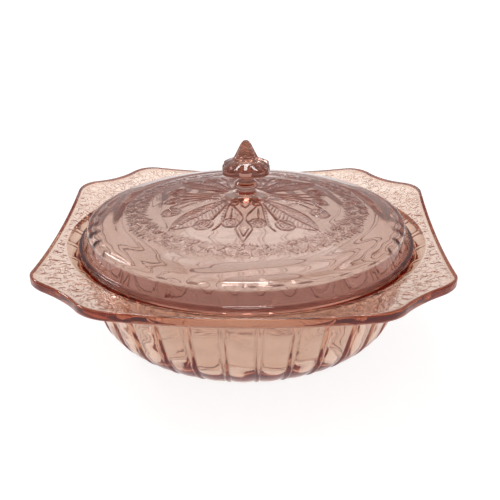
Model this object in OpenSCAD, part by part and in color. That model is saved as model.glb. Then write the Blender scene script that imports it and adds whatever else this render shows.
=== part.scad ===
// Covered dish in pressed glass: a square-rimmed bowl with a ribbed round body,
// and a domed lid with a knob that rests in a round seat inside the rim.
// The axis of the dish is Z, and its foot stands on Z = 0.

/* [Rim] */
// Width of the rim across its straight sides
rim_w = 228.6; // [226:0.2:234]
// Height of the rim's top face at the middle of a side
rim_z = 62.9; // [60:0.1:66]
// Thickness of the glass at the rim
rim_t = 5.5; // [4.5:0.1:6]
// Length of each straight side
side_len = 131.6; // [124:0.2:134]
// Radius of the two round lobes at each corner
lobe_r = 20.2; // [18:0.2:22]
// Depth of the notch between the two lobes of a corner
notch_depth = 2.5; // [1.5:0.1:4]

/* [Bowl] */
// Diameter where the curve of the body meets the foot
foot_d = 136; // [130:1:140]
// Number of wide panels round the body, with a narrow rib between each two
panel_count = 32; // [16:8:32]
// Depth of the grooves beside a rib
groove_depth = 1.2; // [0.6:0.1:1.6]
// Share of the pitch that a panel takes
panel_share = 0.66; // [0.5:0.02:0.68]
// Share of the pitch that a rib takes
rib_share = 0.14; // [0.1:0.02:0.2]
// Thickness of the glass in the middle of the floor
floor_t = 5.9; // [4:0.1:8]

/* [Lid] */
// Diameter of the lid's lip
lid_d = 199.2; // [196:0.2:200]
// Clearance round the lip in its seat
seat_gap = 1.7; // [1:0.1:2]
// Depth of the seat below the rim's top face
seat_depth = 5.6; // [5:0.1:6]
// Height of the lip
lip_h = 3.9; // [3:0.1:5]
// Height of the lid's wall above the lip
wall_h = 9.6; // [8:0.1:11]
// Rise of the dome above the lid's wall
dome_h = 16.2; // [13:0.1:18]
// Thickness of the lid's glass
lid_t = 4.3; // [3.5:0.1:5]

/* [Knob] */
// Height of the knob above the middle of the dome
knob_h = 33; // [30:0.5:36]
// Number of corners of the knob's skirt
knob_corners = 4; // [4:1:6]
// Distance from the knob's axis to the end of a corner
knob_reach = 16.4; // [15.5:0.1:17.5]

/* [Hidden] */
$fn = 128;
glass = "#cf9a8c";

// Rim outline: the centre of a lobe, and the circle that hollows the notch
lobe = [rim_w / 2 - lobe_r, side_len / 2];
notch_at = (lobe.x + lobe.y) / sqrt(2) + lobe_r - notch_depth;
notch_mid = (norm(lobe) ^ 2 - (notch_at - lobe_r) ^ 2) / (2 * notch_depth);
notch_r = notch_mid - notch_at;
notch = [notch_mid, notch_mid] / sqrt(2);
lobe_end = lobe + (notch - lobe) * lobe_r / (lobe_r + notch_r);
rim_reach = norm(lobe) + lobe_r + 2;

// Rim surface: it climbs a little more steeply towards the corners
rim_slope = 0.167;
rim_curl = 0.0011;

// Seat of the lid, and the slope that leads down to it
lip_r = lid_d / 2;
seat_r = lip_r + seat_gap;
seat_z = rim_z - seat_depth;
riser = 5.6;

// Body of the bowl: foot ring, round knee, leaning wall and floor
foot_r = foot_d / 2;
foot_ring = 8;
foot_recess = 1.6;
knee = [91, 21];
wall_lean = 0.352;
wall_t = 5.2;
ledge_w = 6;

// Lid: lip and its chamfer, foot and top of the wall, and where the dome starts
lip_w = 5.3;
chamfer = 0.8;
lip_top = seat_z + lip_h;
shoulder_z = lip_top + wall_h;
dome_r = lip_r - 11.6;
dome_z = shoulder_z + 2.8;
dome_top = shoulder_z + dome_h;

// Knob: collar on the dome, waist, band, neck, skirt, and the foot and tip of the bud
collar = [12, dome_top - 0.8];
waist = [5.6, dome_top + 2.6];
band = [7.1, dome_top + 6.3];
neck = [4.6, dome_top + 10.5];
skirt_z = dome_top + 14;
skirt_edge = 3.4;
corner_r = 6.5;
side_r = 5;
side_reach = knob_reach - 2.4;
bud = [8.6, dome_top + 21];
tip = [4, dome_top + knob_h - 4.3];

function bezier(a, b, c, d, steps = 7) =
    [for (i = [0:steps]) let (t = i / steps, u = 1 - t)
        u ^ 3 * a + 3 * u ^ 2 * t * b + 3 * u * t ^ 2 * c + t ^ 3 * d];
function reverse(list) = [for (i = [len(list) - 1:-1:0]) list[i]];
function shifted(list, by) = [for (p = list) [p.x + by, p.y]];
function rim_top(r) = rim_z + rim_slope * (r - rim_w / 2) + rim_curl * (r - rim_w / 2) ^ 2;
function wall_r(z) = knee.x + wall_lean * (z - knee.y);

// Outside of the body along its panels and ribs, from the foot to the rim
function crest() = let (top_z = rim_z - 12)
    concat(
        bezier([foot_r, 0.6], [foot_r + 8, 1.5], [knee.x - 3.9, knee.y - 11], knee),
        bezier(
            [wall_r(top_z), top_z],
            [wall_r(top_z + 5), top_z + 5],
            [wall_r(top_z) + 4, top_z + 5.6],
            [wall_r(top_z) + 11, rim_top(wall_r(top_z) + 11) - rim_t],
            steps = 5));

// Inside of the bowl, from the edge of the seat to the middle of the floor
function hollow() = let (edge = [seat_r - ledge_w, seat_z - 1], bend = [knee.x - wall_t + 2, 27])
    concat(
        [edge + [0.8, 1]],
        bezier(edge, edge - [0.4, 10], bend + [3.2, 9], bend),
        bezier(bend, bend - [2.8, 8], [foot_r + 12, floor_t + 2.3], [foot_r - 4, floor_t + 2]),
        [[0, foot_recess + floor_t]]);

// Wall of the bowl, cut through the axis
module bowl_section() {
    rim_steps = 6;
    under = [for (i = [0:rim_steps]) seat_r + 14 + (rim_reach - seat_r - 14) * i / rim_steps];
    over = [for (i = [0:rim_steps]) rim_reach - (rim_reach - seat_r - riser) * i / rim_steps];
    polygon(concat(
        [[0, foot_recess], [foot_r - foot_ring, foot_recess], [foot_r - foot_ring + 1, 0], [foot_r - 2, 0]],
        shifted(crest(), -groove_depth),
        [for (r = under) [r, rim_top(r) - rim_t]],
        [for (r = over) [r, rim_top(r)]],
        [[seat_r + 0.4, seat_z + 0.4], [seat_r, seat_z]],
        hollow()));
}

// Square outline of the rim, with two lobes and a notch at each corner
module rim_outline() {
    difference() {
        union() {
            square([rim_w, side_len], center = true);
            square([side_len, rim_w], center = true);
            for (turn = [0:90:270]) {
                rotate(turn) {
                    polygon([[0, 0], lobe, lobe_end, [lobe_end.y, lobe_end.x], [lobe.y, lobe.x]]);
                    translate(lobe) circle(lobe_r);
                    translate([lobe.y, lobe.x]) circle(lobe_r);
                }
            }
        }
        for (turn = [0:90:270]) {
            rotate(turn) translate(notch) circle(notch_r);
        }
    }
}

// One panel or rib: a strip that stands out of the wall from the foot to the rim
module strip(share) {
    angle = 360 / panel_count * share;
    line = crest();
    rotate(-angle / 2) {
        rotate_extrude(angle = angle) {
            polygon(concat(line, reverse(shifted(line, -groove_depth - 1))));
        }
    }
}

module bowl() {
    color(glass) {
        intersection() {
            rotate_extrude() bowl_section();
            linear_extrude(rim_z * 2) rim_outline();
        }
        for (i = [0:panel_count - 1]) {
            rotate(i * 360 / panel_count) strip(panel_share);
            rotate((i + 0.5) * 360 / panel_count) strip(rib_share);
        }
    }
}

// Glass of the lid without its knob, cut through the axis
module lid_section() {
    polygon(concat(
        [[lip_r - lip_w, seat_z], [lip_r - chamfer, seat_z], [lip_r, seat_z + chamfer]],
        [[lip_r, lip_top - chamfer], [lip_r - chamfer, lip_top], [lip_r - 2.3, lip_top]],
        bezier(
            [lip_r - 5.2, shoulder_z - 1], [lip_r - 5.8, shoulder_z + 1.6],
            [dome_r + 3.6, dome_z - 0.9], [dome_r, dome_z]),
        bezier([dome_r, dome_z], [66, dome_z + 5.6], [32, dome_top - 1.6], [0, dome_top]),
        [[0, dome_top - lid_t]],
        bezier(
            [0, dome_top - lid_t], [32, dome_top - 1.6 - lid_t],
            [66, dome_z + 5.6 - lid_t], [dome_r - 1.5, dome_z - lid_t]),
        bezier(
            [dome_r - 1.5, dome_z - lid_t], [dome_r + 1.8, dome_z - lid_t - 0.8],
            [lip_r - 9.6, shoulder_z - 2.6], [lip_r - 8.9, shoulder_z - 4.6])));
}

// Turned parts of the knob: collar, waist, band, neck and bud
module knob_section() {
    top = [0, dome_top + knob_h];
    polygon(concat(
        [[0, dome_top - 2], [collar.x, collar.y - 1]],
        bezier(collar, collar + [-4, 0.8], waist - [0, 1.4], waist),
        bezier(waist, waist + [0, 1.2], band + [0.2, -2], band),
        bezier(band, band + [-0.2, 1.4], neck - [0, 2.4], neck),
        [[neck.x, skirt_z + 1], [bud.x, skirt_z + skirt_edge]],
        bezier(bud, bud + [-1.9, 1.6], tip + [1.6, -2.9], tip),
        bezier(tip, tip + [-0.9, 2.1], top + [2, -0.1], top)));
}

// Skirt of the knob: a round lobe at each corner, a smaller one in the middle of each side,
// and a top that slopes up to the foot of the bud
module knob_skirt() {
    intersection() {
        linear_extrude(bud.y) {
            for (i = [0:knob_corners - 1]) {
                rotate((i + 0.5) * 360 / knob_corners) translate([knob_reach - corner_r, 0]) circle(corner_r);
                rotate(i * 360 / knob_corners) translate([side_reach - side_r, 0]) circle(side_r);
            }
        }
        rotate_extrude() {
            polygon([
                [0, skirt_z], [side_reach - 1, skirt_z], [knob_reach + 1, skirt_z + 1],
                [knob_reach + 1, skirt_z + skirt_edge - 0.6], [side_reach - 0.6, skirt_z + skirt_edge + 0.7],
                bud, [0, bud.y]]);
        }
    }
}

module lid() {
    color(glass) {
        rotate_extrude() {
            lid_section();
            knob_section();
        }
        knob_skirt();
    }
}

bowl();
lid();
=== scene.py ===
"""Looks of a covered dish in pink pressed glass: the bowl and the lid as detailed closed
glass bodies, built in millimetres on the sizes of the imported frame, with a pale floor,
soft lights and a camera at eye height across a table."""

import math

import bpy
import numpy as np
from mathutils import Matrix, Vector


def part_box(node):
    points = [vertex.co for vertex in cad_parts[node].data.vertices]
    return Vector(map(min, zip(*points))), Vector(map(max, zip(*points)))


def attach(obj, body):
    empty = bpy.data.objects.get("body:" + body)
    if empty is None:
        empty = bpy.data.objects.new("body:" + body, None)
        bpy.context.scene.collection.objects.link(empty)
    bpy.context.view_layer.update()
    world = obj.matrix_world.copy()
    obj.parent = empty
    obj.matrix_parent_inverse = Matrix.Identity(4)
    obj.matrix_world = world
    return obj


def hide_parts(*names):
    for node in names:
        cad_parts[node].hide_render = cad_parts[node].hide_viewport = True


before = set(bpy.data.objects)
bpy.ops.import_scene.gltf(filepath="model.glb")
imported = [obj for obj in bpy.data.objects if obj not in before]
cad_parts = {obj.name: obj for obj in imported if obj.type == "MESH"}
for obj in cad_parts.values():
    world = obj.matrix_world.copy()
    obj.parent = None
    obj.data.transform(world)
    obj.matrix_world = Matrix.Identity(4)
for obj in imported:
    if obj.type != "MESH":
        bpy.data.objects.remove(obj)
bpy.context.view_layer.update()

MM = 0.001

# ---------------------------------------------------------------- sizes, in millimetres
# Outer sizes come from the frame. Most of the rest are the CAD source's own dimensions; the
# grooves are a little deeper here, and the painted shade tints and small roundings are only here.
bowl_high = np.array(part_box("bowl")[1]) / MM
lid_low, lid_high = [np.array(corner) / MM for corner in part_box("lid")]

HALF_W = bowl_high[0]  # half the width across the straight sides
LIP_R = lid_high[0]  # radius of the lid's lip
SEAT_Z = lid_low[2]  # level of the seat that the lid rests on
TIP_Z = lid_high[2]  # top of the knob

RIM_Z = SEAT_Z + 5.6  # rim's top face at the middle of a side
RIM_T = 5.5  # thickness of the glass at the rim
RIM_SLOPE = 0.167  # climb of the rim towards its edge
RIM_CURL = 0.0011  # and how fast that climb grows
SIDE_HALF = 65.8  # half the length of a straight side
SIDE_BOW = 0.5  # how far the middle of a side bows in
LOBE_R = 20.2  # radius of a corner's two lobes
NOTCH_DEPTH = 2.5  # of the notch between them
EDGE = 1.3  # radius of the rounding along the rim's edge
EDGE_PAINTED_SHADE = 0.55  # strength of the painted shade along the rim's edge

SEAT_R = LIP_R + 1.7  # radius of the seat
RISER_R = SEAT_R + 5.6  # where the slope up from the seat reaches the rim
LEDGE_W = 6.0  # width of the seat
RISER_PAINTED_SHADE = 0.8  # strength of the painted shade on the slope and the seat

FOOT_RING = (61.4, 64.8)  # inner and outer radius of the ring that the bowl stands on
FOOT_R = 68.0  # where the curve of the body meets the foot
UNDER_Z = 1.6  # underside of the floor, inside the foot ring
FLOOR_Z = 7.5
KNEE = (91.0, 21.0)  # radius and height where the curve turns into the leaning wall
WALL_LEAN = 0.352  # how much the wall's radius grows with its height
WALL_T = 5.2  # thickness of the wall
BODY_TOP = RIM_Z - 12  # where the wall starts to sweep out into the rim
SWEEP_W = 9.0  # width of that sweep
PANELS = 32  # round the body, with a rib between each two
GROOVE = 1.5  # depth of the grooves beside a rib
GROOVE_AT = 0.79  # their place, from 0 in the middle of a panel to 1 on a rib

LIP_TOP = SEAT_Z + 3.9  # top of the lid's lip
SHOULDER_Z = LIP_TOP + 9.6  # top of the lid's wall
DOME_R = LIP_R - 11.6  # radius of the dome's edge
DOME_Z = SHOULDER_Z + 2.8  # and its height
DOME_TOP = SHOULDER_Z + 16.2
LID_T = 4.3  # thickness of the dome
LID_WALL = (LIP_R - 5.2, SHOULDER_Z - 1)  # radius and height of the top of the wall, outside
LID_INNER = (LIP_R - 8.9, SHOULDER_Z - 4.6)  # and inside
LIP_PAINTED_SHADE = 1.0  # strength of the painted shade round the lip

# the skirt's large lobes at its corners and the smaller ones between: reach and radius
KNOB_CORNERS = 4
CORNER_REACH = 16.4
CORNER_R = 6.5
SIDE_REACH = 14.0
SIDE_R = 5.0
SKIRT_Z = DOME_TOP + 14.0  # underside of the skirt
SKIRT_EDGE = 3.4  # height of the skirt's edge
# radius and height along the knob, from the foot of its bud downwards
BUD = (8.6, DOME_TOP + 21.0)
NECK = (4.6, DOME_TOP + 10.5)
BELT = (7.1, DOME_TOP + 6.3)
WAIST = (5.6, DOME_TOP + 2.6)
COLLAR_R = 12.0
SKIRT_PAINTED_SHADE = 0.8  # strength of the painted shade on the skirt
STEM_PAINTED_SHADE = 0.5  # and of the painted shade on the stem below it


# ---------------------------------------------------------------- curves and rings
def bezier(a, b, c, d, steps):
    """steps + 1 points along a cubic curve, as rows of radius and height."""
    t = np.linspace(0.0, 1.0, steps + 1)[:, None]
    u = 1.0 - t
    a, b, c, d = (np.array(p, float) for p in (a, b, c, d))
    return u**3 * a + 3 * u**2 * t * b + 3 * u * t**2 * c + t**3 * d


def straight(a, b, steps):
    """steps + 1 evenly spaced points from a to b."""
    return np.linspace(np.array(a, float), np.array(b, float), steps + 1)


def rounded(corners, arc_steps=4):
    """A profile through corners, each given as (radius, height, rounding)."""
    points = [np.array(corners[0][:2], float)]
    for before, here, after in zip(corners, corners[1:], corners[2:]):
        p, q, s = (np.array(c[:2], float) for c in (before, here, after))
        back = (p - q) / np.linalg.norm(p - q)
        ahead = (s - q) / np.linalg.norm(s - q)
        for t in np.linspace(0.0, 1.0, arc_steps + 1):
            bend = (1 - t) ** 2 * (q + back * here[2]) + t**2 * (q + ahead * here[2])
            points.append(bend + 2 * t * (1 - t) * q)
    points.append(np.array(corners[-1][:2], float))
    return np.array(points)


def turn(count):
    """Angles of a ring's points, from the front of the dish, -Y, towards +X."""
    return np.arange(count) * 2 * math.pi / count


def folded(angle, count):
    """Angle away from the nearest of count evenly spaced directions, one of them the front."""
    pitch = 2 * math.pi / count
    return np.abs((angle + pitch / 2) % pitch - pitch / 2)


def plan_points(angle, radius):
    """Points in plan at these angles and radii."""
    return np.column_stack([radius * np.sin(angle), -radius * np.cos(angle)])


def plan_ring(points, height, line=0.0, twigs=0.0):
    """Rows of x, y, z, painted shade and twigs for a ring of points in plan.

    line is the strength of the shade painted where the glass shows a dark line, and twigs
    the share of the fine pressed twigs that grow there, both from 0 to 1.
    """
    rest = [np.broadcast_to(value, len(points)) for value in (height, line, twigs)]
    return np.column_stack([points, *rest])


def ring(angle, radius, height, line=0.0, twigs=0.0):
    """Ring of points at these angles, radii and heights."""
    return plan_ring(plan_points(angle, radius), height, line, twigs)


def plain_rings(profile, count, line=0.0):
    """Round rings along a profile of (radius, height) rows."""
    angle = turn(count)
    return [ring(angle, r, z, line) for r, z in profile]


def band(first, n, second, m):
    """Faces between a ring of n points and one of m points, which is n, 2n or n / 2."""
    i = np.arange(min(n, m))
    if m == n:
        j = (i + 1) % n
        corners = [(first + i, first + j, second + j, second + i)]
    elif m == 2 * n:
        low, high = first + i, first + (i + 1) % n
        a, b, c = second + 2 * i, second + 2 * i + 1, second + (2 * i + 2) % m
        corners = [(low, b, a), (low, high, b), (high, c, b)]
    elif n == 2 * m:
        a, b, c = first + 2 * i, first + 2 * i + 1, first + (2 * i + 2) % n
        low, high = second + i, second + (i + 1) % m
        corners = [(a, b, low), (b, high, low), (b, c, high)]
    else:
        raise ValueError("neighbouring rings need equal counts, or twice or half as many points")
    return np.concatenate([np.stack(face, axis=1) for face in corners]).tolist()


def add_object(name, data):
    """A new object for this mesh, lamp or camera, linked to the scene."""
    thing = bpy.data.objects.new(name, data)
    bpy.context.scene.collection.objects.link(thing)
    return thing


def skin(name, rings, first_pole, last_pole):
    """A closed mesh object through rings, shut by a fan at each pole on the axis."""
    counts = [len(r) for r in rings]
    starts = [1, *(1 + np.cumsum(counts)).tolist()]
    points = np.concatenate([[[0, 0, first_pole, 0, 0]], *rings, [[0, 0, last_pole, 0, 0]]])
    last = len(points) - 1
    faces = [[0, starts[0] + (i + 1) % counts[0], starts[0] + i] for i in range(counts[0])]
    for k in range(len(rings) - 1):
        faces += band(starts[k], counts[k], starts[k + 1], counts[k + 1])
    edge = starts[-2]
    faces += [[edge + i, edge + (i + 1) % counts[-1], last] for i in range(counts[-1])]
    mesh = bpy.data.meshes.new(name)
    mesh.from_pydata((points[:, :3] * MM).tolist(), [], faces)
    # the fourth column is the strength of the painted shade, the fifth the share of twigs
    for column, attribute in ((3, "line"), (4, "twigs")):
        values = mesh.attributes.new(attribute, "FLOAT", "POINT").data
        values.foreach_set("value", points[:, column].astype(np.float32))
    mesh.shade_smooth()
    return add_object(name, mesh)


# ---------------------------------------------------------------- pressed ornament
# Heights run from 0 to 1 and are joined with np.maximum; the caller scales them.
RELIEF = 0.55  # depth of the ornament on the dome
RIM_RELIEF = 0.36  # and on the rim


def bump(distance, half_width):
    """A rounded ridge over the points within half_width."""
    return np.clip(1.0 - (distance / half_width) ** 2, 0.0, 1.0) ** 1.5


def stroke(x, y, points, start_w, end_w):
    """A ridge along a chain of points, its half width going from start_w to end_w."""
    height = np.zeros_like(x)
    points = np.array(points, float)
    last = len(points) - 1
    for k in range(last):
        a, step = points[k], points[k + 1] - points[k]
        along = np.clip(((x - a[0]) * step[0] + (y - a[1]) * step[1]) / (step @ step), 0.0, 1.0)
        width = start_w + (end_w - start_w) * (k + along) / last
        away = np.hypot(x - a[0] - along * step[0], y - a[1] - along * step[1])
        height = np.maximum(height, bump(away, width))
    return height


def circlet(x, y, middle, radius, half_width):
    """A ridge round a circle."""
    return bump(np.hypot(x - middle[0], y - middle[1]) - radius, half_width)


def dot(x, y, middle, radius):
    """A round bead."""
    return bump(np.hypot(x - middle[0], y - middle[1]), radius)


def toward(heading):
    """Unit vector in plan at this angle from the line that runs to the front."""
    return np.array([math.sin(heading), math.cos(heading)])


def polar(radius, degrees):
    """A point of the ornament by its distance and its heading in degrees."""
    return radius * toward(math.radians(degrees))


def along_and_across(x, y, base, axis):
    """Places of the points along a unit axis from base, and to the side of it."""
    dx, dy = x - base[0], y - base[1]
    return dx * axis[0] + dy * axis[1], dy * axis[0] - dx * axis[1]


def bud(x, y, middle, radius):
    """A ringed bud: two circlets, three seeds and a frill of dots between them."""
    height = circlet(x, y, middle, radius, 0.55)
    height = np.maximum(height, circlet(x, y, middle, radius * 0.55, 0.45))
    for k in range(3):
        seed = middle + 0.22 * radius * polar(1.0, 120 * k)
        height = np.maximum(height, dot(x, y, seed, 0.75))
    for k in range(9):
        frill = middle + 0.78 * radius * polar(1.0, 40 * k)
        height = np.maximum(height, 0.6 * dot(x, y, frill, 0.7))
    return height


def feather(x, y, base, tip, half_width, pitch, bow=0.0):
    """A leaf with a raised outline, a midrib and slanting veins; bow bends it sideways."""
    axis = np.array(tip, float) - base
    length = np.linalg.norm(axis)
    along, across = along_and_across(x, y, base, axis / length)
    s = along / length
    inside = np.clip(s, 0.0, 1.0)
    t = across - bow * np.sin(math.pi * inside)
    reach = half_width * np.sin(math.pi * inside**1.15) ** 0.75
    within = (s > 0) & (s < 1)
    vein = 0.5 + 0.5 * np.cos(2 * math.pi * (along - 0.75 * np.abs(t)) / pitch)
    margin = np.clip((reach - np.abs(t) - 0.5) / 0.8, 0.0, 1.0)
    veins = np.where(within, 0.85 * vein**3 * margin, 0.0)
    outline = np.where(within, bump(np.abs(t) - reach, 0.6), 0.0)
    midrib = np.where((s > -0.02) & (s < 1.02), bump(t, 0.6), 0.0)
    return np.maximum.reduce([veins, outline, midrib])


def medallion(x, y):
    """One quarter of the dome's medallion; x runs sideways and y to the front, both from 0 up."""
    parts = [
        # pointed star ray on the front line, and the drop above it
        stroke(x, y, bezier((8.2, 10), (5.5, 22), (0.2, 25), (1.0, 32), 8), 0.55, 0.6),
        stroke(x, y, bezier((1.0, 32), (1.8, 37), (4.8, 39), (4.7, 43.5), 6), 0.6, 0.6),
        stroke(x, y, [(4.7, 43.5), (0.0, 57.0)], 0.65, 0.5),
        stroke(x, y, [(2.6, 43.0), (0.0, 50.5)], 0.5, 0.45),
        stroke(x, y, bezier((3.4, 8), (4.2, 12), (1.6, 15), (0.0, 18.5), 6), 0.6, 0.45),
        # first bud, its stem and the beaded arch beside it
        bud(x, y, polar(37.0, 11.7), 4.7),
        stroke(x, y, [(7.6, 19.0), (7.9, 31.0)], 0.5, 0.9),
        stroke(x, y, bezier((9.2, 13), (12.0, 24), (10.0, 38), (17.4, 44.2), 12), 0.5, 0.6),
        # second bud on its tapering bar
        stroke(x, y, [(10.2, 12.0), (18.6, 31.5)], 0.5, 1.7),
        bud(x, y, polar(43.6, 31.5), 5.2),
        # great feather towards the corner
        feather(x, y, polar(13.5, 57.0), polar(57.0, 46.4), 8.6, 2.7, bow=2.2),
        # side buds on double stems
        bud(x, y, polar(46.0, 68.0), 5.4),
        stroke(x, y, bezier((14.0, 4.2), (22, 5.5), (33, 7), (38.0, 13.0), 8), 0.5, 0.6),
        stroke(x, y, bezier((17.0, 3.0), (26, 3.2), (36, 2.5), (44.0, 9.5), 8), 0.5, 0.6),
        bud(x, y, polar(43.5, 90.0), 4.6),
        stroke(x, y, [(14.5, 0.0), (38.0, 0.0)], 0.5, 1.2),
        # small ringed seeds round the collar
        circlet(x, y, (6.6, 13.0), 2.0, 0.6),
        circlet(x, y, (13.0, 8.2), 1.6, 0.5),
    ]
    for bead in bezier((10.6, 15), (13.2, 25), (11.6, 36), (16.4, 42.0), 9)[:-1]:
        parts.append(0.8 * dot(x, y, bead, 0.75))
    return np.maximum.reduce(parts)


def floret(x, y, middle, size, spin):
    """A small flower: five ringed petals about a seed."""
    height = dot(x, y, middle, 0.3 * size)
    for k in range(5):
        petal = middle + 0.62 * size * toward(spin + 2 * math.pi * k / 5)
        height = np.maximum(height, circlet(x, y, petal, 0.4 * size, 0.42))
    return height


def sprig_leaf(x, y, base, heading, length, half_width):
    """A small pointed leaf with a midrib."""
    along, t = along_and_across(x, y, base, toward(heading))
    s = along / length
    reach = half_width * np.sin(math.pi * np.clip(s, 0.0, 1.0) ** 0.8)
    within = (s > 0) & (s < 1)
    edge = np.where(within, bump(np.abs(t) - reach, 0.4), 0.0)
    rib = np.where(within, 0.8 * bump(t, 0.35), 0.0)
    return np.maximum(edge, rib)


WREATH_R = 65.3  # middle of the wreath, from the axis
WREATH_FLOWERS = 92


def wreath(angle, radius):
    """Ring of florets and leaves round the dome, on points given by angle and radius."""
    x, y = radius * np.sin(angle), radius * np.cos(angle)
    height = np.zeros_like(x)
    step = 2 * math.pi / WREATH_FLOWERS
    for k in range(WREATH_FLOWERS):
        at = k * step
        out = -1 if k % 2 else 1
        cluster = 0.5 + 0.5 * math.cos(12 * at)
        size = 2.0 + 0.7 * cluster
        middle = (WREATH_R + out * (1.5 + 1.6 * cluster)) * toward(at)
        near = folded(angle - at, 1) < 1.7 * step
        px, py = x[near], y[near]
        patch = floret(px, py, middle, size, 1.3 * k)
        outward = at if out > 0 else at + math.pi
        for turned, length in ((-0.9, 5.2), (0.0, 4.6), (0.9, 5.4)):
            leaf = sprig_leaf(px, py, middle, outward + turned, length, 1.15)
            patch = np.maximum(patch, leaf)
        height[near] = np.maximum(height[near], patch)
    return height


def wreath_zone(angle, radius):
    """The scalloped belt of the dome that the wreath fills, from 0 to 1."""
    half_width = 5.6 + 1.3 * np.cos(12 * angle) + 0.8 * np.cos(31 * angle)
    return np.clip(half_width - np.abs(radius - WREATH_R), 0.0, 1.0)


def dome_relief(angle, radius):
    """Height of the ornament on the dome, from 0 to 1."""
    quarter = folded(angle, 2)
    star = medallion(radius * np.sin(quarter), radius * np.cos(quarter))
    return np.maximum(star, 0.55 * wreath(angle, radius))


FLANGE_MARGIN = 3.6  # plain border along the rim's edge
SPRIG_PITCH = 6.6  # distance between neighbouring stems on the rim


def sprig_zone(out, inset):
    """The part of the rim that bears sprigs, from 0 to 1.

    out is the distance from the riser and inset that from the rim's edge.
    """
    return np.clip(out / 1.2, 0.0, 1.0) * np.clip((inset - FLANGE_MARGIN) / 0.9, 0.0, 1.0)


def flange_relief(angle, out):
    """Height of the stems that wind outwards across the rim, from 0 to 1."""
    fold = folded(angle, 4)
    along = fold * (HALF_W + 4) + 1.1 * np.sin(0.9 * out + 3 * np.sin(9 * fold))
    off = np.abs((along + SPRIG_PITCH / 2) % SPRIG_PITCH - SPRIG_PITCH / 2)
    return bump(off, 0.6) * np.clip(0.6 + np.sin(0.55 * out + 40 * fold), 0.0, 1.0)


# ---------------------------------------------------------------- bowl
def rim_top(radius):
    """Height of the rim's top face at this distance from the axis."""
    away = radius - HALF_W
    return RIM_Z + RIM_SLOPE * away + RIM_CURL * away**2


def rim_outline(angle):
    """Distance from the axis to the rim's edge.

    It has bowed sides, and two lobes with a notch between them at each corner.
    """
    fold = folded(angle, 4)
    cos, sin = np.cos(fold), np.sin(fold)
    across = HALF_W * sin / cos
    side = (HALF_W - SIDE_BOW * np.clip(1 - (across / SIDE_HALF) ** 2, 0, 1)) / cos

    # the lobe is an arc that meets the end of the side
    lobe = np.array([HALF_W - LOBE_R, SIDE_HALF])
    lobe_squared = lobe @ lobe
    to_lobe = cos * lobe[0] + sin * lobe[1]
    round_lobe = to_lobe + np.sqrt(np.clip(LOBE_R**2 - lobe_squared + to_lobe**2, 0, None))

    # the notch is a hollow arc about a point outside the corner, tangent to both lobes
    notch_at = lobe.sum() / math.sqrt(2) + LOBE_R - NOTCH_DEPTH
    notch_mid = (lobe_squared - (notch_at - LOBE_R) ** 2) / (2 * NOTCH_DEPTH)
    notch_r = notch_mid - notch_at
    to_notch = notch_mid * (cos + sin) / math.sqrt(2)
    hollow = to_notch - np.sqrt(np.clip(notch_r**2 - notch_mid**2 + to_notch**2, 0, None))
    notch = np.array([notch_mid, notch_mid]) / math.sqrt(2)
    lobe_end = lobe + (notch - lobe) * LOBE_R / (LOBE_R + notch_r)
    in_notch = fold > math.atan2(lobe_end[1], lobe_end[0])
    return np.where(across < SIDE_HALF, side, np.where(in_notch, hollow, round_lobe))


def rim_edge(count):
    """The rim's outline drawn in by its edge's rounding, and its outward normals, in plan."""
    angle = turn(count)
    points = plan_points(angle, rim_outline(angle))
    ahead = np.roll(points, -1, axis=0) - np.roll(points, 1, axis=0)
    normal = np.stack([ahead[:, 1], -ahead[:, 0]], axis=1)
    normal /= np.linalg.norm(normal, axis=1)[:, None]
    return points - EDGE * normal, normal


def wall_r(z):
    """Radius of the leaning wall's ribs at this height."""
    return KNEE[0] + WALL_LEAN * (z - KNEE[1])


def panel_place(angle):
    """Place across a panel of the wall, from 0 in its middle to 1 on the rib beside it."""
    return folded(angle, PANELS) * PANELS / math.pi


def fluting(angle, strength):
    """How far the wall lies behind its ribs: wide rounded panels, a groove beside each rib."""
    u = panel_place(angle)
    panel = 0.02 + 0.7 * (u / GROOVE_AT) ** 2
    trough = (0.5 + 0.5 * np.cos(math.pi * np.clip((u - GROOVE_AT) / 0.12, -1.0, 1.0))) ** 0.8
    depth = np.where(u < GROOVE_AT, panel, 0.3 * np.clip((0.93 - u) / 0.14, 0.0, 1.0))
    return GROOVE * strength * np.maximum(depth, trough)


def groove_line(angle, z):
    """Strength of the shade painted along each groove, strongest low on the body."""
    u = panel_place(angle)
    low = np.clip((34.0 - z) / 22.0, 0.0, 1.0) * np.clip((z - 1.0) / 4.0, 0.0, 1.0)
    return np.exp(-(((u - 0.8) / 0.09) ** 2)) * (0.3 + 0.7 * low)


def inner_waves(angle, z):
    """Shallow waves on the inside of the bowl."""
    upright = 0.2 * np.sin(13 * angle + 0.16 * z + np.sin(5 * angle))
    level = 0.12 * np.sin(0.5 * z + 3 * np.sin(8 * angle))
    return upright + level


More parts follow.
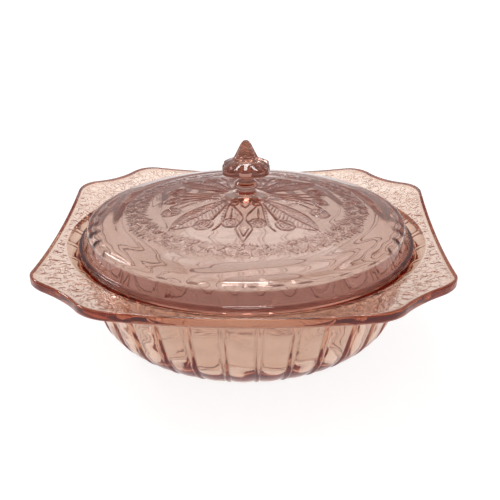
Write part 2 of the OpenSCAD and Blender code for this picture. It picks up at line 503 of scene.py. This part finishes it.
def outside_rings():
    """Rings from the middle of the bowl's underside over the foot ring and the body to the rim."""
    rings = plain_rings(straight((6, UNDER_Z), (58, UNDER_Z), 6), 128)
    inner, outer = FOOT_RING
    contact = rounded([
        (inner - 2.4, UNDER_Z, 0), (inner - 0.9, UNDER_Z - 0.2, 0.7), (inner, 0, 0.8), (outer, 0, 0)])
    rings += plain_rings(contact, 256)
    rings += plain_rings([(FOOT_R - 2.2, 0.02)], 512)

    start = wall_r(BODY_TOP)
    body = np.concatenate([
        [(FOOT_R - 1.4, 0.12), (FOOT_R - 0.6, 0.4)],
        bezier((FOOT_R, 0.8), (FOOT_R + 8, 1.9), (KNEE[0] - 3.9, KNEE[1] - 11), KNEE, 12),
        straight(KNEE, (start, BODY_TOP), 7)[1:],
    ])
    angle = turn(1024)
    for r, z in body:
        fade = np.clip((z - 0.3) / 3.0, 0.0, 1.0)
        # with painted shade along the grooves
        rings.append(ring(angle, r - fluting(angle, fade), z, groove_line(angle, z)))

    # the wall sweeps out into the flat underside of the rim
    reach = start + SWEEP_W
    sweep = bezier((start, BODY_TOP), (start + 1.8, BODY_TOP + 5), (start + 4, BODY_TOP + 5.6),
                   (reach, rim_top(reach) - RIM_T), 5)[1:]
    for k, (r, z) in enumerate(sweep, 1):
        fade = 1.0 - k / len(sweep)
        rings.append(ring(angle, r - fluting(angle, fade), z, fade * groove_line(angle, z)))
    return rings


def edge_rings():
    """Rings of the rim's flat underside and its rounded edge."""
    rings = []
    inset, normal = rim_edge(1024)
    inner = plan_points(turn(1024), wall_r(BODY_TOP) + SWEEP_W)
    for t in (0.2, 0.5, 0.8):
        flat = inner + (inset - inner) * t
        rings.append(plan_ring(flat, rim_top(np.hypot(*flat.T)) - RIM_T))
    for side, tilts in ((-1, (90, 60, 30, 0)), (1, (0, 30, 60))):
        for tilt in np.radians(tilts):
            flat = inset + EDGE * math.cos(tilt) * normal
            lift = side * (0.5 * RIM_T - EDGE + EDGE * math.sin(tilt))
            # painted shade on the side and lower rounding of the edge, none on its top rounding
            painted_shade_tint = EDGE_PAINTED_SHADE if side < 0 or tilt == 0 else 0.0
            rings.append(plan_ring(flat, rim_top(np.hypot(*flat.T)) - 0.5 * RIM_T + lift, painted_shade_tint))
    return rings


def flange_rings():
    """Rings of the rim's top face with its sprigs, from its edge in to the riser."""
    rings = []
    angle = turn(2048)
    inset, _ = rim_edge(2048)
    foot = plan_points(angle, RISER_R)
    width = np.linalg.norm(inset - foot, axis=1)
    for t in np.linspace(1.0, 0.0, 19):
        flat = foot + (inset - foot) * t
        r = np.hypot(*flat.T)
        away = (1.0 - t) * width
        zone = sprig_zone(r - RISER_R, away + EDGE)
        relief = zone * flange_relief(angle, r - RISER_R)
        sunk = RIM_RELIEF * (1 - relief) * np.clip(away, 0.0, 1.0)
        # the sprigs' relief also sets painted shade along them
        rings.append(plan_ring(flat, rim_top(r) - sunk, 0.4 * relief, zone))
    return rings


def seat_rings():
    """Rings of the slope inside the rim and of the lid's seat, with ever fewer points."""
    well_r = SEAT_R - LEDGE_W
    level = SEAT_Z - 0.05
    slope = rounded([
        (RISER_R - 0.7, rim_top(RISER_R) - 0.7, 0), (SEAT_R + 1.0, SEAT_Z + 0.9, 0.8),
        (SEAT_R - 0.4, level, 0.8), (well_r + 0.9, level, 0.7), (well_r, SEAT_Z - 1.4, 0)])
    # painted shade over the slope and the seat
    rings = plain_rings(slope[:1], 1024, RISER_PAINTED_SHADE)
    rings += plain_rings(slope[1:2], 512, RISER_PAINTED_SHADE)
    return rings + plain_rings(slope[2:], 256, RISER_PAINTED_SHADE)


def inside_rings():
    """Rings of the inside of the bowl, down to the middle of its floor."""
    edge = np.array([SEAT_R - LEDGE_W, SEAT_Z - 1.6])
    bend = np.array([KNEE[0] - WALL_T + 2, 27.0])
    well = np.concatenate([
        bezier(edge, edge - (0.4, 10), bend + (3.2, 9), bend, 16),
        bezier(bend, bend - (2.8, 8), (FOOT_R + 12, FLOOR_Z + 0.7), (FOOT_R - 4, FLOOR_Z + 0.4), 14)[1:],
    ])
    rings = []
    angle = turn(256)
    for r, z in well:
        wave = inner_waves(angle, z) * np.clip((edge[1] - z) / 4.0, 0.0, 1.0)
        rings.append(ring(angle, r - wave, z + 0.3 * wave))
    for r, z in straight((61, FLOOR_Z + 0.3), (6, FLOOR_Z), 16):
        rings.append(ring(angle, r, z - 0.8 * inner_waves(3 * angle, 3 * r)))
    return rings


def bowl_rings():
    """Rings of the bowl from the middle of its underside round the rim to the middle of its floor."""
    return outside_rings() + edge_rings() + flange_rings() + seat_rings() + inside_rings()


# ---------------------------------------------------------------- lid
# inner and outer radius of each band of the dome, points in a ring and distance between rings
DOME_BANDS = [(12.6, 20.0, 256, 0.6), (20.0, 40.0, 512, 0.66), (40.0, 74.0, 1024, 0.8)]


def dome_curve(edge_r, depth, steps):
    """Profile of the dome from its edge to the axis, at this depth below its outside."""
    curve = bezier((edge_r, DOME_Z), (66, DOME_Z + 5.6), (32, DOME_TOP - 1.6), (0, DOME_TOP), steps)
    return curve - (0, depth)


def dome_z(radius):
    """Height of the dome's plain outer surface."""
    curve = dome_curve(DOME_R, 0, 60)[::-1]
    return np.interp(radius, curve[:, 0], curve[:, 1])


def lobes_r(angle, count, middle, radius):
    """Outline of a ring of round lobes whose centres lie at this distance from the axis."""
    fold = folded(angle, count)
    along = middle * np.cos(fold)
    across = middle * np.sin(fold)
    return np.where(across < radius, along + np.sqrt(np.clip(radius**2 - across**2, 0.0, None)), 0.0)


def skirt_r(angle):
    """Outline of the knob's skirt: a lobe at each corner and a smaller one between each pair."""
    shift = math.pi / KNOB_CORNERS
    corners = lobes_r(angle + shift, KNOB_CORNERS, CORNER_REACH - CORNER_R, CORNER_R)
    sides = lobes_r(angle, KNOB_CORNERS, SIDE_REACH - SIDE_R, SIDE_R)
    return np.maximum(corners, sides)


def knob_rings():
    """Rings of the knob from its tip to the foot of its collar."""
    angle = turn(256)
    point = (4.0, TIP_Z - 4.3)
    cone = np.concatenate([
        bezier((0.0, TIP_Z), (2.0, TIP_Z - 0.1), (point[0] - 0.9, point[1] + 2.1), point, 7)[1:],
        bezier(point, (point[0] + 1.6, point[1] - 2.9), (BUD[0] - 1.9, BUD[1] + 1.6), BUD, 12)[1:],
    ])
    rings = []
    for r, z in cone:
        petals = 0.4 * np.abs(np.cos(5 * angle)) * min(1.0, (TIP_Z - z) / 4.0)
        rings.append(ring(angle, r - petals, z, 0.0, 1.0))

    # the skirt, by its share of the way from the bud to the outline
    top = SKIRT_Z + SKIRT_EDGE
    skirt = [
        (0.35, BUD[1] - 0.8), (0.7, top + 1.3), (0.9, top + 0.7), (0.97, top + 0.2), (1.0, top - 0.6),
        (1.0, SKIRT_Z + 1.2), (0.95, SKIRT_Z + 0.5), (0.86, SKIRT_Z + 0.1)]
    for share, z in skirt:
        # painted shade on the skirt
        rings.append(ring(angle, BUD[0] + (skirt_r(angle) - BUD[0]) * share, z, SKIRT_PAINTED_SHADE))

    stem = np.concatenate([
        [(7.5, SKIRT_Z), (NECK[0] + 0.7, SKIRT_Z - 0.1), (NECK[0], SKIRT_Z - 0.9)],
        bezier(NECK, (NECK[0], NECK[1] - 2.4), (BELT[0] - 0.2, BELT[1] + 1.4), BELT, 6),
        bezier(BELT, (BELT[0] + 0.2, BELT[1] - 2.0), (WAIST[0], WAIST[1] + 1.2), WAIST, 6)[1:],
        bezier(WAIST, (WAIST[0], WAIST[1] - 1.4), (COLLAR_R - 4, DOME_TOP),
               (COLLAR_R, DOME_TOP - 0.7), 8)[1:],
    ])
    # painted shade on the upper stem, none on its lowest part at the collar
    return rings + plain_rings(stem[:-4], 256, STEM_PAINTED_SHADE) + plain_rings(stem[-4:], 256)


def dome_rings():
    """Rings of the outside of the dome with its ornament, out to its plain border."""
    rings = []
    for first, last, count, pitch in DOME_BANDS:
        angle = turn(count)
        for r in np.arange(first, last - 0.2, pitch):
            relief = dome_relief(angle, np.full(count, r))
            height = dome_z(r) - RELIEF * (1 - relief)
            # the ornament's relief also sets painted shade along its lines
            rings.append(ring(angle, r, height, relief, wreath_zone(angle, r)))
    rings += plain_rings([(76.0, dome_z(76.0) - 0.45)], 512)
    return rings + plain_rings([(r, dome_z(r)) for r in (79.0, 82.0, 85.0)], 256)


def lip_rings():
    """Rings of the lid's shoulder and wall, round the lip and up the inside of the wall."""
    wall = bezier(
        (DOME_R, DOME_Z), (DOME_R + 3.6, DOME_Z - 0.9), (LIP_R - 5.8, SHOULDER_Z + 1.6), LID_WALL, 10)
    lip = rounded([
        (*LID_WALL, 0), (LIP_R - 2.3, LIP_TOP + 0.2, 0.6), (LIP_R, LIP_TOP, 1.2),
        (LIP_R, SEAT_Z, 1.3), (LIP_R - 5.3, SEAT_Z, 0.9), (*LID_INNER, 0)])
    # painted shade round the lip, from its top corner down
    return plain_rings([*wall, *lip[1:6]], 256) + plain_rings(lip[6:], 256, LIP_PAINTED_SHADE)


def glass_waves(angle, radius):
    """Shallow waves on the inside of the lid."""
    rise = min(1.0, radius / 30.0)
    return 0.15 * rise * np.sin(radius / 1.9 + 1.5 * np.sin(3 * angle) + 0.8 * np.sin(7 * angle + 1.0))


def wall_waves(angle):
    """Shallow upright waves on the inside of the lid's wall."""
    return 0.3 * np.sin(34 * angle + 2.0 * np.sin(5 * angle))


def vault_rings():
    """Rings of the inside of the lid, from its wall to its middle."""
    vault = dome_curve(DOME_R - 1.5, LID_T, 36)
    edge = vault[0]
    turn_in = bezier(LID_INNER, (LID_INNER[0] - 0.7, LID_INNER[1] + 2.0), edge + (3.3, -0.8), edge, 6)
    rings = []
    angle = turn(512)
    for r, z in turn_in[1:]:
        rings.append(ring(angle, r + wall_waves(angle), z + glass_waves(angle, r)))
    angle = turn(256)
    for r, z in vault[1:-1]:
        rings.append(ring(angle, r, z + glass_waves(angle, r)))
    return rings


def lid_rings():
    """Rings of the lid from the tip of the knob over the dome and round the lip to its inside."""
    return knob_rings() + dome_rings() + lip_rings() + vault_rings()


# ---------------------------------------------------------------- materials
# surface tint of the glass: its clear colour, and the painted shade along the dark lines
BOWL_CLEAR_AND_PAINTED_SHADE = ((0.84, 0.75, 0.685), (0.46, 0.22, 0.11))
LID_CLEAR_AND_PAINTED_SHADE = ((0.725, 0.675, 0.685), (0.28, 0.12, 0.11))
BODY_COLOUR = (0.85, 0.44, 0.18)  # what the body of the glass lets through
BODY_DENSITY = 46.0  # per metre
BOWL_RIPPLE = 0.25
LID_RIPPLE = 0.10
TWIG_SCALE = 210.0
TWIG_WIDTH = 0.035  # how far the noise may stray from its middle within a twig
TWIG_PAINTED_SHADE = 0.35  # strength of the painted shade along the twigs


def set_inputs(tree, node, inputs):
    """Set a node's inputs; an output socket of another node among the values is linked."""
    for key, value in inputs.items():
        if isinstance(value, bpy.types.NodeSocket):
            tree.links.new(value, node.inputs[key])
        else:
            node.inputs[key].default_value = value


def add_node(tree, kind, inputs):
    """A new shader node of this kind with these inputs."""
    node = tree.nodes.new("ShaderNode" + kind)
    set_inputs(tree, node, inputs)
    return node


def calculate(tree, operation, *values):
    """Result of a math node on these numbers or sockets."""
    node = add_node(tree, "Math", dict(enumerate(values)))
    node.operation = operation
    return node.outputs["Value"]


def attribute(tree, name):
    """Value of a mesh attribute."""
    node = add_node(tree, "Attribute", {})
    node.attribute_name = name
    return node.outputs["Fac"]


def remap(tree, value, low, high, to_low, to_high):
    """Value moved from the range low to high into the range to_low to to_high, and clamped."""
    node = add_node(tree, "MapRange", {
        "Value": value, "From Min": low, "From Max": high, "To Min": to_low, "To Max": to_high})
    return node.outputs["Result"]


def noise(tree, place, scale, detail, distortion=0.0):
    """Fine noise over the object's own coordinates."""
    node = add_node(tree, "TexNoise", {
        "Vector": place, "Scale": scale, "Detail": detail, "Distortion": distortion})
    return node.outputs["Fac"]


def twig_height(tree, place):
    """Fine pressed twigs: winding contour lines of a noise, where the mesh bears them."""
    winding = noise(tree, place, TWIG_SCALE, 1.5, 0.8)
    away = calculate(tree, "ABSOLUTE", calculate(tree, "SUBTRACT", winding, 0.5))
    thread = remap(tree, away, 0.0, TWIG_WIDTH, 1.0, 0.0)
    return calculate(tree, "MULTIPLY", thread, attribute(tree, "twigs"))


def new_material(name):
    """A new material, with its node tree and its shader."""
    material = bpy.data.materials.new(name)
    material.use_nodes = True
    return material, material.node_tree, material.node_tree.nodes["Principled BSDF"]


def pink_glass(name, ripple, clear, painted_shade_colour):
    """Pressed pink glass over a plain absorbing body, with faint ripples and wear.

    Its surface tint goes from clear to a painted shade along the ornament, twigs, grooves and edges.
    """
    material, tree, shader = new_material(name)
    place = add_node(tree, "TexCoord", {}).outputs["Object"]
    twigs = twig_height(tree, place)
    # strength of the painted shade: along the twigs, plus what the mesh's attribute gives
    painted_shade_strength = calculate(tree, "MULTIPLY_ADD", twigs, TWIG_PAINTED_SHADE, attribute(tree, "line"))
    painted_shade_tint = add_node(tree, "MixRGB", {"Fac": painted_shade_strength, "Color1": (*clear, 1.0), "Color2": (*painted_shade_colour, 1.0)})
    wear = remap(tree, noise(tree, place, 90.0, 4.0), 0.35, 0.75, 0.0, 0.05)
    rippled = add_node(tree, "Bump", {
        "Strength": ripple, "Distance": 0.0008, "Height": noise(tree, place, 45.0, 2.0)})
    raised = add_node(tree, "Bump", {
        "Strength": 0.7, "Distance": 0.0004, "Height": twigs, "Normal": rippled.outputs["Normal"]})
    set_inputs(tree, shader, {
        "Base Color": painted_shade_tint.outputs["Color"], "Roughness": wear, "Normal": raised.outputs["Normal"],
        "IOR": 1.5, "Transmission Weight": 1.0})
    body = add_node(tree, "VolumeAbsorption", {"Color": (*BODY_COLOUR, 1.0), "Density": BODY_DENSITY})
    set_inputs(tree, tree.nodes["Material Output"], {"Volume": body.outputs["Volume"]})
    return material


def lit_table(name, shade, glow):
    """Matt pale surface of a table that is lit from below."""
    material, tree, shader = new_material(name)
    set_inputs(tree, shader, {
        "Base Color": (shade, shade, shade, 1.0), "Roughness": 0.9,
        "Emission Color": (1.0, 1.0, 1.0, 1.0), "Emission Strength": glow})
    return material


# ---------------------------------------------------------------- pieces
bowl = skin("bowl_glass", bowl_rings(), UNDER_Z, FLOOR_Z)
bowl.data.materials.append(pink_glass("pink_glass_bowl", BOWL_RIPPLE, *BOWL_CLEAR_AND_PAINTED_SHADE))
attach(bowl, "bowl")
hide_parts("bowl")

lid = skin("lid_glass", lid_rings()[::-1], DOME_TOP - LID_T, TIP_Z)
lid.data.materials.append(pink_glass("pink_glass_lid", LID_RIPPLE, *LID_CLEAR_AND_PAINTED_SHADE))
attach(lid, "lid")
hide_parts("lid")


# ---------------------------------------------------------------- stage, in metres
FLOOR_HALF = 20.0
FLOOR_LEVEL = -0.0004  # just clear of the foot ring
AIM = (0, 0, 0.05)  # point of the dish that the lamps are turned to
LAMPS = {  # place, diameter and power of each
    "light_above": ((0.0, 0.12, 1.1), 0.3, 3.0),
    "light_side": ((-0.9, 0.5, 0.8), 0.35, 3.0),
    "light_back": ((0.0, 0.95, 1.0), 0.7, 1.3),
}
CAMERA_PLACE = (0.0165, -0.5130, 0.2706)
CAMERA_AIM = (0.00216, 0.00006, 0.05075)
CAMERA_LENS = 66.2  # focal length in millimetres on a 36 mm sensor
CAMERA_ROLL = -0.22  # degrees
WORLD_COLOUR = (0.50, 0.46, 0.46)


def floor():
    """A wide floor under the dish."""
    mesh = bpy.data.meshes.new("floor")
    signs = [(-1, -1), (1, -1), (1, 1), (-1, 1)]
    corners = [(sx * FLOOR_HALF, sy * FLOOR_HALF, FLOOR_LEVEL) for sx, sy in signs]
    mesh.from_pydata(corners, [], [(0, 1, 2, 3)])
    mesh.materials.append(lit_table("floor_panel", 0.35, 0.85))
    add_object("floor", mesh)


def looking(place, aim):
    """Rotation of a lamp or camera at place that points at aim."""
    return (Vector(aim) - Vector(place)).to_track_quat("-Z", "Y")


def lamp(name, place, size, power):
    """Round soft light at place."""
    light = bpy.data.lights.new(name, "AREA")
    light.shape = "DISK"
    light.size = size
    light.energy = power
    lamp_object = add_object(name, light)
    lamp_object.location = place
    lamp_object.rotation_euler = looking(place, AIM).to_euler()


def camera():
    """The view from eye height across the table."""
    data = bpy.data.cameras.new("camera")
    data.lens = CAMERA_LENS
    data.sensor_width = 36.0
    view = add_object("camera", data)
    turned = looking(CAMERA_PLACE, CAMERA_AIM).to_matrix().to_4x4()
    roll = Matrix.Rotation(math.radians(CAMERA_ROLL), 4, "Z")
    view.matrix_world = Matrix.Translation(CAMERA_PLACE) @ turned @ roll
    bpy.context.scene.camera = view


floor()
for lamp_name, settings in LAMPS.items():
    lamp(lamp_name, *settings)
camera()

scene = bpy.context.scene
scene.world = bpy.data.worlds.new("studio")
scene.world.use_nodes = True
background = scene.world.node_tree.nodes["Background"]
set_inputs(scene.world.node_tree, background, {"Color": (*WORLD_COLOUR, 1.0), "Strength": 1.0})

scene.view_settings.view_transform = "Standard"
scene.cycles.max_bounces = 32
scene.cycles.transmission_bounces = 32
scene.cycles.glossy_bounces = 32
scene.cycles.volume_bounces = 0
scene.cycles.transparent_max_bounces = 16
scene.cycles.use_denoising = True
